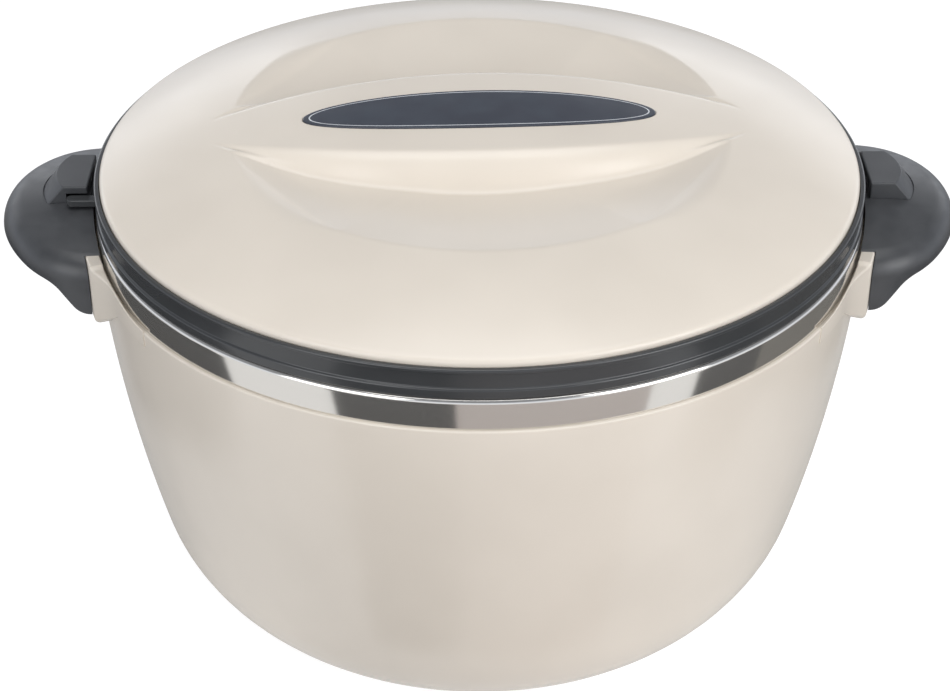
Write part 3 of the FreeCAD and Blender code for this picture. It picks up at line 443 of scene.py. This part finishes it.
class BuildBadge(bpy.types.Operator):
    """Badge: a crowned oval plate with a fine white line inside its edge"""

    bl_idname = "casserole.badge"
    bl_label = "Badge"

    def execute(self, context):
        count = 360

        def seat(u, v):
            return dome_height(np.hypot(u, v), 0.4)

        def top(u, v):
            return seat(u, v) + BADGE_THICK

        loops = [oval_loop(BADGE_LONG * s, BADGE_WIDE * s, seat, count) for s in (0.02, 0.5, 1.0)]
        for inset, drop in ((0.0, 0.35), (0.04, 0.16), (0.14, 0.05), (0.32, 0.0), (0.7, 0.0)):
            loops.append(
                oval_loop(BADGE_LONG - inset, BADGE_WIDE - inset, lambda u, v, d=drop: top(u, v) - d, count)
            )
        line_start = len(loops)
        for long_inset, wide_inset in ((2.3, 1.4), (LINE_LONG, LINE_WIDE)):
            loops.append(oval_loop(BADGE_LONG - long_inset, BADGE_WIDE - wide_inset, top, count))
        long = BADGE_LONG - LINE_LONG
        wide = BADGE_WIDE - LINE_WIDE
        loops += [oval_loop(long * step, wide * step, top, count) for step in np.linspace(0.95, 0.02, 24)]
        item = skin("badge_plate", loops, turn=GRIP_TURN, capped=True)
        finish_piece(item, "glossy_acrylic", "lid", "badge")
        item.data.materials.append(bpy.data.materials["printed_line"])
        for face in item.data.polygons:
            loop = min(face.vertices) // count
            if loop == line_start and len(face.vertices) == 4:
                face.material_index = 1
        return {"FINISHED"}


# Turned pieces: bowl, lid ring and body

# Steel bowl: flat at the centre, then heel, leaning wall, upright mouth, flange and skirt
BOWL_FLOOR = 20.0
BOWL_LEAN = math.radians(6.2)
BOWL_MOUTH = 134.6
BOWL_HEEL = 40.0
BOWL_CENTRE = 0.4
MOUTH_LOW = 160.0
SKIRT_OUT = 150.3
STEEL = 0.6
# Lid ring: bead, waist and foot band, with a shelf under the cover
RING_FOOT = 180.3
RING_TOP = 192.0
RING_LIP = 3.3
RING_WAIST = 0.8
RING_BAND = 3.4
RING_BEAD = 1.6
RING_GAP = 0.3
SHELF_IN = 130.0
SHELF_LOW = 183.3
TAB_NEAR = 14.0
TAB_FAR = 18.8
TAB_LOW = 181.5
TAB_TOP = 184.3
TAB_CORNER = 2.0
TAB_EDGE = 0.3
# Outer body: foot ring, heel's arc, bowed wall, inside of the heel, and the collar inside the skirt
BASE_HOLE = 12.05
BASE_LOW = 3.6
BASE_TOP = 6.2
FOOT_IN = 77.9
FOOT_OUT = 83.9
HEEL_LOW = (84.9, 2.9)
HEEL_TOP = (134.4, 49.4)
HEEL_RADIUS = 62.0
WALL_TOP = (151.5, 166.9)
WALL_RADIUS = 635.7
INSIDE_TOP = (131.9, 50.4)
INSIDE_LOW = 84.0
INSIDE_RADIUS = 30.0
COLLAR_OUT = 149.3
COLLAR_IN = 147.0
COLLAR_TOP = 179.0
# Lugs, and the fairings at their ends: half angles and runs are in degrees round the body
LUG_HALF = 19.2
LUG_OUT = 156.4
LUG_IN = 151.2
LUG_ROOT = 150.6
LUG_LOW = 149.0
LUG_TOP = 174.3
FAIRING_OUT = 151.75
FAIRING_TOP = 168.3
FAIRING_STEP = 1.3
LUG_RUN = 7.0
FAIRING_RUN = 16.0
STEP_RUN = 0.8
LOW_RISE = 1.8


def eased(corners):
    """Outline of (radius, height, rounding) corners, with each rounding as short steps."""
    points = []
    for i, (r, z, rounding) in enumerate(corners):
        here = np.array((r, z))
        back = np.array(corners[i - 1][:2]) - here
        ahead = np.array(corners[(i + 1) % len(corners)][:2]) - here
        if rounding == 0:
            points.append(here)
            continue
        back /= np.linalg.norm(back)
        ahead /= np.linalg.norm(ahead)
        half = math.acos(float(np.clip(back @ ahead, -1, 1))) / 2
        centre = here + (back + ahead) / np.linalg.norm(back + ahead) * rounding / math.sin(half)
        start = here + back * rounding / math.tan(half) - centre
        end = here + ahead * rounding / math.tan(half) - centre
        sweep = math.pi - 2 * half
        steps = max(3, math.ceil(math.degrees(sweep) / 9))
        for step in np.linspace(0, 1, steps + 1):
            spread = math.sin(sweep)
            share = (math.sin((1 - step) * sweep) * start + math.sin(step * sweep) * end) / spread
            points.append(centre + share)
    return points


def turned(name, corners, count=288, capped=False):
    """Piece turned about the upright axis from an outline, in millimetres."""
    loops = [round_loop(r, z, count) for r, z in eased(corners)]
    item = skin(name, loops, closed=not capped, capped=capped)
    item.data.set_sharp_from_angle(angle=SMOOTH_WITHIN)
    return item


def merged(name, items):
    """One object of several closed meshes."""
    bpy.ops.object.select_all(action="DESELECT")
    for item in items:
        item.select_set(True)
    bpy.context.view_layer.objects.active = items[0]
    bpy.ops.object.join()
    items[0].name = name
    return items[0]


class BuildBowl(bpy.types.Operator):
    """Steel bowl with its flange and the rolled skirt that shows under the lid"""

    bl_idname = "casserole.bowl"
    bl_label = "Steel bowl"

    def execute(self, context):
        heel = BOWL_MOUTH - (MOUTH_LOW - BOWL_FLOOR) * math.tan(BOWL_LEAN)
        corners = [
            (BOWL_CENTRE, BOWL_FLOOR, 0),
            (heel, BOWL_FLOOR, BOWL_HEEL),
            (BOWL_MOUTH, MOUTH_LOW, 0),
            (BOWL_MOUTH, FLANGE_TOP, 2.5),
            (SKIRT_OUT, FLANGE_TOP, 2.0),
            (SKIRT_OUT, SHELL_HEIGHT, 0.15),
            (SKIRT_OUT - STEEL, SHELL_HEIGHT, 0.15),
            (SKIRT_OUT - STEEL, FLANGE_TOP - STEEL, 2.0 - STEEL),
            (BOWL_MOUTH + STEEL, FLANGE_TOP - STEEL, 2.5 - STEEL),
            (BOWL_MOUTH + STEEL, MOUTH_LOW, 0),
            (heel + STEEL, BOWL_FLOOR - STEEL, BOWL_HEEL + STEEL),
            (BOWL_CENTRE, BOWL_FLOOR - STEEL, 0),
        ]
        finish_piece(turned("bowl", corners, capped=True), "polished_steel", "casserole", "inner_bowl")
        return {"FINISHED"}


class BuildRing(bpy.types.Operator):
    """Ring round the lid, with its bead, its foot band and two lock tabs"""

    bl_idname = "casserole.ring"
    bl_label = "Lid ring"

    def execute(self, context):
        lip = RING_RADIUS - RING_LIP
        waist = RING_RADIUS - RING_WAIST
        groove = COVER_OUT + RING_GAP
        corners = [
            (lip, RING_FOOT, 0.3),
            (RING_RADIUS, RING_FOOT, 0.6),
            (RING_RADIUS, RING_FOOT + RING_BAND, 0.9),
            (waist, RING_FOOT + RING_BAND + 0.6, 0.6),
            (waist, RING_TOP - RING_BEAD - 0.5, 0.5),
            (RING_RADIUS, RING_TOP - RING_BEAD, 0.4),
            (RING_RADIUS, RING_TOP, 0.8),
            (groove, RING_TOP, 0.3),
            (groove, COVER_FOOT, 0),
            (SHELF_IN, COVER_FOOT, 0.3),
            (SHELF_IN, SHELF_LOW, 0.3),
            (lip, SHELF_LOW, 0),
        ]
        ring = turned("ring", corners)
        tabs = [self.tab(way) for way in (1, -1)]
        finish_piece(merged("ring", [ring, *tabs]), "glossy_abs", "lid", "lid_ring")
        return {"FINISHED"}

    def tab(self, way):
        """Flat tab with rounded outer corners, from the ring out to the circle that it sweeps."""
        near = [(147.4, TAB_NEAR, 0), (160.4, TAB_NEAR, TAB_CORNER)]
        far = [(159.9, TAB_FAR, TAB_CORNER), (146.9, TAB_FAR, 0)]
        plan = eased(near + far)
        middle = np.mean(plan, axis=0)[1]
        half = (TAB_FAR - TAB_NEAR) / 2
        loops = []
        for inset, z in (
            (TAB_EDGE, TAB_LOW),
            (0.0, TAB_LOW + TAB_EDGE),
            (0.0, TAB_TOP - TAB_EDGE),
            (TAB_EDGE, TAB_TOP),
        ):
            scale = 1 - inset / half
            loops.append(np.array([(way * x, way * (middle + (y - middle) * scale), z) for x, y in plan]))
        item = skin("tab", loops, capped=True)
        item.data.set_sharp_from_angle(angle=SMOOTH_WITHIN)
        return item


class BuildBody(bpy.types.Operator):
    """Outer body: wall, heel and foot ring, with the two lugs that carry the handles"""

    bl_idname = "casserole.body"
    bl_label = "Outer body"

    def execute(self, context):
        foot = [
            (BASE_HOLE, BASE_LOW, 0),
            (FOOT_IN, BASE_LOW, 0.8),
            (FOOT_IN, 0.0, 0.6),
            (FOOT_OUT, 0.0, 0.6),
            (*HEEL_LOW, 0),
        ]
        heel = self.arc(HEEL_LOW, HEEL_TOP, HEEL_RADIUS, 16)
        wall = self.arc(HEEL_TOP, WALL_TOP, WALL_RADIUS, 24)
        inside = [
            (WALL_TOP[0], SHELL_HEIGHT, 0.7),
            (COLLAR_OUT, SHELL_HEIGHT, 0.3),
            (COLLAR_OUT, COLLAR_TOP - 1.8, 0),
            (COLLAR_OUT - 1.4, COLLAR_TOP, 0),
            (COLLAR_IN, COLLAR_TOP, 0),
            (COLLAR_IN, MOUTH_LOW, 0),
            (*INSIDE_TOP, 0),
            (INSIDE_LOW, BASE_TOP, INSIDE_RADIUS),
            (BASE_HOLE, BASE_TOP, 0),
        ]
        outline = eased(foot) + heel + wall
        outline += eased([(*wall[-1], 0), *inside, (BASE_HOLE, BASE_LOW, 0)])[1:-1]
        body = skin("body", [round_loop(r, z, 288) for r, z in outline], closed=True)
        body.data.set_sharp_from_angle(angle=SMOOTH_WITHIN)
        lugs = [self.lug(turn) for turn in (0, 180)]
        finish_piece(merged("body", [body, *lugs]), "moulded_polypropylene", "casserole", "outer_shell")
        return {"FINISHED"}

    def arc(self, start, end, radius, steps):
        """Points of an arc that bulges outwards and down, without its first point."""
        start = np.array(start)
        end = np.array(end)
        way = end - start
        half = np.linalg.norm(way) / 2
        side = np.array((-way[1], way[0])) / (2 * half)
        centre = (start + end) / 2 + side * math.sqrt(radius**2 - half**2)
        first = math.atan2(*(start - centre)[::-1])
        last = math.atan2(*(end - centre)[::-1])
        angles = np.linspace(first, last, steps + 1)[1:]
        return [centre + radius * np.array((math.cos(a), math.sin(a))) for a in angles]

    def lug(self, turn):
        """Upstanding lug: its section swept round the body, and faired into the shoulder at both ends."""
        stations = [(angle, 0.0) for angle in np.linspace(0, LUG_HALF, 14)]
        runs = (0.15, 0.4, 0.8, 1.3, 2, 3, 4.2, 5.6, LUG_RUN, 8.5, 10, 12, 14, FAIRING_RUN)
        stations += [(LUG_HALF + run, run) for run in runs]
        stations = [(-angle, run) for angle, run in reversed(stations[1:])] + stations
        rise = LUG_TOP - FAIRING_TOP - FAIRING_STEP
        rings = []
        for angle, run in stations:
            out = FAIRING_OUT + (LUG_OUT - FAIRING_OUT) * (1 - min(run / LUG_RUN, 1)) ** 2
            top = FAIRING_TOP + rise * math.cos(run / FAIRING_RUN * math.pi / 2) ** 2
            top += FAIRING_STEP * max(1 - run / STEP_RUN, 0) ** 2
            thick = out - LUG_IN
            low = LUG_LOW + min(run, LUG_RUN) * LOW_RISE
            section = eased(
                [
                    (LUG_ROOT, low, 0),
                    (out, low, min(2.5, thick * 0.45)),
                    (out, top, min(0.9, thick * 0.4)),
                    (LUG_IN, top, min(0.6, thick * 0.3)),
                    (LUG_IN, SHELL_HEIGHT - 0.8, 0),
                ]
            )
            a = math.radians(angle + turn)
            rings.append(np.array([(r * math.cos(a), r * math.sin(a), z) for r, z in section]))
        item = skin("lug", rings, capped=True)
        item.data.set_sharp_from_angle(angle=math.radians(40))
        return item


# Stage: floor, lamps and camera

# Camera fitted to the photo: its width and focal length in pixels, its place in mm, its angles in degrees
PHOTO_WIDTH = 950
FOCAL_PIXELS = 2200
SENSOR_WIDTH = 36
CAMERA_PLACE = Vector((-1.63, -763.3, 602.0))
CAMERA_PITCH = 33.1
VIEW_TURN = -0.79
VIEW_ROLL = 0.11
# Area lamps: place, height aimed at, width and height in metres, and power in watts
LAMPS = {
    "lamp_left": ((-0.9, -1.2, 0.7), 0.12, 0.9, 0.9, 6.0),
    "lamp_right": ((1.1, -1.1, 0.7), 0.12, 0.9, 0.9, 10.2),
    "lamp_top": ((0.0, -0.2, 1.7), 0.2, 1.3, 1.3, 11.6),
    "lamp_back_left": ((-1.0, 1.7, 0.74), 0.18, 1.5, 0.5, 3.1),
    "lamp_back_right": ((1.0, 1.7, 0.74), 0.18, 1.5, 0.5, 2.8),
}
# Cards: colour, the stretch of the skirt that mirrors it, in degrees from the front, and its reach in mm
CARDS = {
    "card_left": ("#33312e", -71, -39.5, 150, 700),
    "card_front_left": ("#2f2d2a", -21.6, -3.8, 10, 700),
    "card_front": ("#bdb4af", -3.8, 24.5, 10, 700),
    "card_right": ("#2f2d2a", 32.2, 44, 130, 700),
    "card_far_right": ("#6a665f", 44, 72, 200, 700),
}
CARD_HEIGHT = 1.0
# Floor: half its width in metres, its drop under the foot in mm, and how much of it glows, how strongly
FLOOR_HALF = 3.0
FLOOR_DROP = 0.2
FLOOR_SHARE = 0.75
FLOOR_GLOW = 1.2
BACKDROP_GLOW = 1.1


class StageSettings(bpy.types.PropertyGroup):
    """Light of the stage"""

    lamp_level: bpy.props.FloatProperty(
        name="Lamp level", description="Strength of the lamps", default=1.0
    )
    sky_level: bpy.props.FloatProperty(
        name="Sky level", description="Strength of the even light", default=0.3
    )


def sheet(name, corners, material):
    """Flat piece of the stage, from its corners in metres."""
    mesh = bpy.data.meshes.new(name)
    mesh.from_pydata(corners, [], [tuple(range(len(corners)))])
    mesh.materials.append(material)
    item = bpy.data.objects.new(name, mesh)
    bpy.context.scene.collection.objects.link(item)
    return item


def lamp(name, place, aim_height, width, height, power):
    """Rectangular area lamp, aimed at a point above the middle of the foot."""
    data = bpy.data.lights.new(name, "AREA")
    data.shape = "RECTANGLE"
    data.size = width
    data.size_y = height
    data.energy = power
    item = bpy.data.objects.new(name, data)
    bpy.context.scene.collection.objects.link(item)
    item.location = place
    item.rotation_mode = "QUATERNION"
    item.rotation_quaternion = (Vector((0, 0, aim_height)) - Vector(place)).to_track_quat("-Z", "Y")


class BuildStage(bpy.types.Operator):
    """Floor, even light, lamps and the camera"""

    bl_idname = "casserole.stage"
    bl_label = "Stage"

    def execute(self, context):
        settings = context.scene.casserole_stage
        half = FLOOR_HALF
        corners = [(-half, -half, 0), (half, -half, 0), (half, half, 0), (-half, half, 0)]
        floor = sheet("floor", corners, self.floor_material())
        floor.location.z = -FLOOR_DROP * MM
        self.light_world(context.scene, settings.sky_level)
        for name, (*sizes, power) in LAMPS.items():
            lamp(name, *sizes, power * settings.lamp_level)
        self.add_cards()
        self.add_camera(context.scene)
        return {"FINISHED"}

    def add_cards(self):
        """Cards on the floor, hidden from the camera, which the steel and the glossy wall mirror."""
        for name, (colour, first, last, near, far) in CARDS.items():
            corners = []
            for angle, reach in ((first, near), (last, near), (last, far), (first, far)):
                turn = math.radians(angle)
                x = RING_RADIUS * math.sin(turn) + reach * math.sin(2 * turn)
                y = -RING_RADIUS * math.cos(turn) - reach * math.cos(2 * turn)
                corners.append((x * MM, y * MM, CARD_HEIGHT * MM))
            material = shaded(name, colour, {"Roughness": 0.9})[0]
            sheet(name, corners, material).visible_camera = False

    def floor_material(self):
        """White floor: three quarters of what the camera and reflections see of it glow, the rest is lit."""
        item, tree, shader, place = shaded("white_floor", "#f6f6f6", {"Roughness": 0.8})
        path = node(tree, "ShaderNodeLightPath")
        camera = path.outputs["Is Camera Ray"]
        glossy = path.outputs["Is Glossy Ray"]
        seen = node(tree, "ShaderNodeMath", {"operation": "MAXIMUM"}, _0=camera, _1=glossy)
        share = node(tree, "ShaderNodeMath", {"operation": "MULTIPLY", 1: FLOOR_SHARE}, _0=seen.outputs[0])
        # Painted reflection: to glossy rays the floor glows as a bright sweep before the piece, and beside
        # and behind it this glow fades, so its reflection gets darker
        depth = node(tree, "ShaderNodeSeparateXYZ", Vector=place).outputs["Y"]
        mirrored = node(
            tree,
            "ShaderNodeMapRange",
            {"From Min": -0.16, "From Max": -0.02, "To Min": 0.97, "To Max": 0.35},
            Value=depth,
        )
        mirrored = node(tree, "ShaderNodeMath", {"operation": "MULTIPLY"}, _0=mirrored.outputs[0], _1=glossy)
        settings = {"operation": "MULTIPLY_ADD", 1: FLOOR_GLOW}
        strength = node(tree, "ShaderNodeMath", settings, _0=camera, _2=mirrored.outputs[0])
        glow = node(tree, "ShaderNodeEmission", {"Color": (1, 1, 1, 1)}, Strength=strength.outputs[0])
        mix = node(
            tree, "ShaderNodeMixShader", _0=share.outputs[0], _1=shader.outputs[0], _2=glow.outputs[0]
        )
        tree.links.new(mix.outputs[0], tree.nodes["Material Output"].inputs["Surface"])
        return item

    def light_world(self, scene, level):
        """A white backdrop that fades 12 to 24 degrees above the floor, under a dim room."""
        world = bpy.data.worlds.new("even_light")
        world.use_nodes = True
        scene.world = world
        tree = world.node_tree
        background = tree.nodes["Background"]
        background.inputs["Color"].default_value = linear("#eef4ff")
        way = node(tree, "ShaderNodeTexCoord").outputs["Generated"]
        height = node(tree, "ShaderNodeSeparateXYZ", Vector=way).outputs["Z"]
        strength = node(
            tree,
            "ShaderNodeMapRange",
            {"From Min": 0.2, "From Max": 0.4, "To Min": BACKDROP_GLOW, "To Max": level},
            Value=height,
        )
        tree.links.new(strength.outputs["Result"], background.inputs["Strength"])

    def add_camera(self, scene):
        """Camera at the photo's place and angle."""
        data = bpy.data.cameras.new("camera")
        data.sensor_width = SENSOR_WIDTH
        data.lens = FOCAL_PIXELS / PHOTO_WIDTH * SENSOR_WIDTH
        item = bpy.data.objects.new("camera", data)
        scene.collection.objects.link(item)
        turn = math.radians(VIEW_TURN)
        item.location = Matrix.Rotation(turn, 3, "Z") @ CAMERA_PLACE * MM
        pitch = Euler((math.radians(90 - CAMERA_PITCH), 0, turn)).to_matrix()
        item.rotation_euler = (pitch @ Matrix.Rotation(math.radians(VIEW_ROLL), 3, "Z")).to_euler()
        data.clip_start = 0.05
        data.clip_end = 20
        scene.camera = item
        scene.view_settings.view_transform = "Standard"


class MaterialSettings(bpy.types.PropertyGroup):
    """Colours of the finishes that cover the most"""

    cream: bpy.props.FloatVectorProperty(
        name="Cream", description="Body and lid", subtype="COLOR", size=3, default=linear("#e1d7c9")[:3]
    )
    charcoal: bpy.props.FloatVectorProperty(
        name="Charcoal", description="Handles, hooks", subtype="COLOR", size=3, default=linear("#404143")[:3]
    )
    ring_grey: bpy.props.FloatVectorProperty(
        name="Ring grey", description="Lid ring", subtype="COLOR", size=3, default=linear("#3c3d3e")[:3]
    )
    steel: bpy.props.FloatVectorProperty(
        name="Steel", description="Bowl and liner", subtype="COLOR", size=3, default=linear("#cfc0ae")[:3]
    )


class DressFrame(bpy.types.Operator):
    """All materials, given to the pieces that keep their CAD shape"""

    bl_idname = "casserole.dress"
    bl_label = "Dress the frame"

    def execute(self, context):
        colours = context.scene.casserole_materials
        cream = moulded_polypropylene(hex_of(colours.cream))
        charcoal = satin_nylon(hex_of(colours.charcoal))
        ring = glossy_abs(hex_of(colours.ring_grey))
        steel = polished_steel(hex_of(colours.steel))
        dress(["outer_shell", "lid_cover", "base_plug", "lid_plug"], cream)
        dress(["handle_left", "handle_right", "lock_hook_left", "lock_hook_right"], charcoal)
        dress(["lid_ring"], ring)
        dress(["inner_bowl", "lid_liner"], steel)
        dress(["badge"], glossy_acrylic("#3e424b"))
        printed_line("#d8dadd")
        dress(["lid_seal"], silicone_rubber("#d8d6d0"))
        dress(["body_foam", "lid_foam"], rigid_foam("#e3d6a8"))
        screws = ["handle_screws_left", "handle_screws_right", "hook_screws_left", "hook_screws_right"]
        dress(screws, zinc_steel("#a9a9a6"))
        return {"FINISHED"}


class CasserolePanel(bpy.types.Panel):
    """Buttons for the casserole's pieces"""

    bl_idname = "VIEW3D_PT_casserole"
    bl_label = "Casserole"
    bl_space_type = "VIEW_3D"
    bl_region_type = "UI"
    bl_category = "Casserole"

    def draw(self, context):
        for step in STEPS:
            self.layout.operator(step.bl_idname)


STEPS = (DressFrame, BuildBody, BuildBowl, BuildRing, BuildCover, BuildBadge, BuildStage)
GROUPS = {
    "casserole_stage": StageSettings,
    "casserole_materials": MaterialSettings,
    "casserole_cover": CoverSettings,
}


def register():
    for item in (*GROUPS.values(), *STEPS, CasserolePanel):
        bpy.utils.register_class(item)
    for name, group in GROUPS.items():
        setattr(bpy.types.Scene, name, bpy.props.PointerProperty(type=group))


def unregister():
    for name in GROUPS:
        delattr(bpy.types.Scene, name)
    for item in reversed((*GROUPS.values(), *STEPS, CasserolePanel)):
        bpy.utils.unregister_class(item)


def main():
    register()
    for step in STEPS:
        category, name = step.bl_idname.split(".")
        getattr(getattr(bpy.ops, category), name)()


if __name__ == "__main__":
    main()
